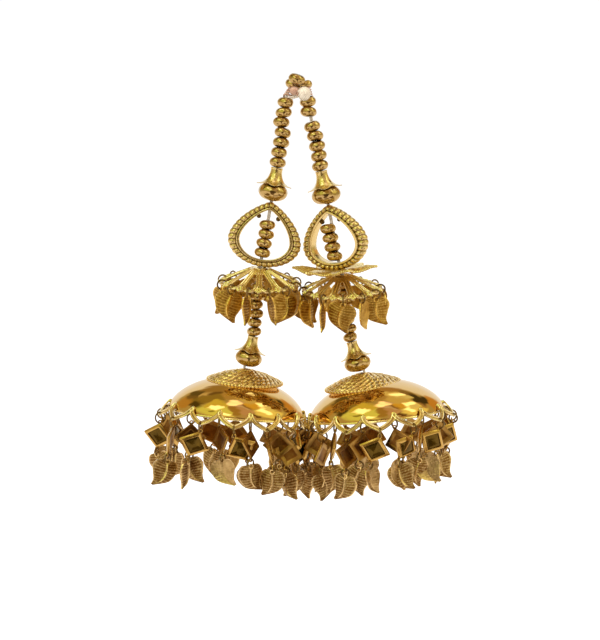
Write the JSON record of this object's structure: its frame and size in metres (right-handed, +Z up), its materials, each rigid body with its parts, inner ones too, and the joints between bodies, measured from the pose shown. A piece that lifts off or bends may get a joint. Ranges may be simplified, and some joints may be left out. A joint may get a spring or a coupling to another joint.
{
  "type": "kalira bangle drop, two-strand",
  "caption": "Hanging wedding bangle drop: two beaded strands from one knotted thread, with openwork caps and leaf charms, each ending in a polished fringed dome.",
  "frame": {"origin": "crown of the top bead, where the loop of thread hangs from a bangle", "axes": "+Z up along the hang; +X from the left strand to the right strand as seen from the front; -Y the front"},
  "size_m": [0.1561, 0.0815, 0.2106],
  "materials": {
    "polished_gold": "mirror-polished gold plate",
    "cast_gold": "antique gold plate on cast metal, rubbed bright on the high places",
    "bead_gold": "polished gold plate with small dents",
    "charm_gold": "antique gold plate on stamped charms",
    "setting_mirror": "dark gold mirror glass in the square settings",
    "knot_thread": "clear and white nylon thread, knotted"
  },
  "bodies": {
    "root": {"top_beads": "bead_gold", "top_knot": "knot_thread", "left_upper_beads": "bead_gold", "left_upper_cap": "cast_gold", "left_upper_ball": "cast_gold", "left_teardrop": "cast_gold", "left_inner_beads": "bead_gold", "left_umbrella": "cast_gold", "left_umbrella_leaves": "charm_gold", "left_lower_beads": "bead_gold", "left_lower_cap": "cast_gold", "left_lower_ball": "cast_gold", "right_upper_beads": "bead_gold", "right_upper_cap": "cast_gold", "right_upper_ball": "cast_gold", "right_teardrop": "cast_gold", "right_inner_beads": "bead_gold", "flower_disk": "cast_gold", "right_umbrella": "cast_gold", "right_umbrella_leaves": "charm_gold", "right_lower_beads": "bead_gold", "right_lower_cap": "cast_gold", "right_lower_ball": "cast_gold"},
    "left_dome_body": {"left_disk_cap": "cast_gold", "left_dome": "polished_gold", "left_stop_bead": "bead_gold", "left_drop_01": "charm_gold", "left_drop_02": "charm_gold", "left_drop_03": "charm_gold", "left_drop_04": "charm_gold", "left_drop_05": "charm_gold", "left_drop_06": "charm_gold", "left_drop_07": "charm_gold", "left_drop_08": "charm_gold", "left_drop_09": "charm_gold", "left_drop_10": "charm_gold", "left_drop_11": "charm_gold", "left_drop_12": "charm_gold", "left_drop_13": "charm_gold", "left_drop_14": "charm_gold"},
    "right_dome_body": {"right_disk_cap": "cast_gold", "right_dome": "polished_gold", "right_stop_bead": "bead_gold", "right_drop_01": "charm_gold", "right_drop_02": "charm_gold", "right_drop_03": "charm_gold", "right_drop_04": "charm_gold", "right_drop_05": "charm_gold", "right_drop_06": "charm_gold", "right_drop_07": "charm_gold", "right_drop_08": "charm_gold", "right_drop_09": "charm_gold", "right_drop_10": "charm_gold", "right_drop_11": "charm_gold", "right_drop_12": "charm_gold", "right_drop_13": "charm_gold", "right_drop_14": "charm_gold"}
  },
  "joints": [
    {"name": "left_dome_swing", "type": "hinge", "parent": "root", "child": "left_dome_body", "pos_m": [-0.02775, 0, -0.14377], "axis": [1, 0, 0], "range_deg": [-20, 20]},
    {"name": "right_dome_swing", "type": "hinge", "parent": "root", "child": "right_dome_body", "pos_m": [0.03388, 0, -0.14627], "axis": [1, 0, 0], "range_deg": [-20, 20]}
  ]
}
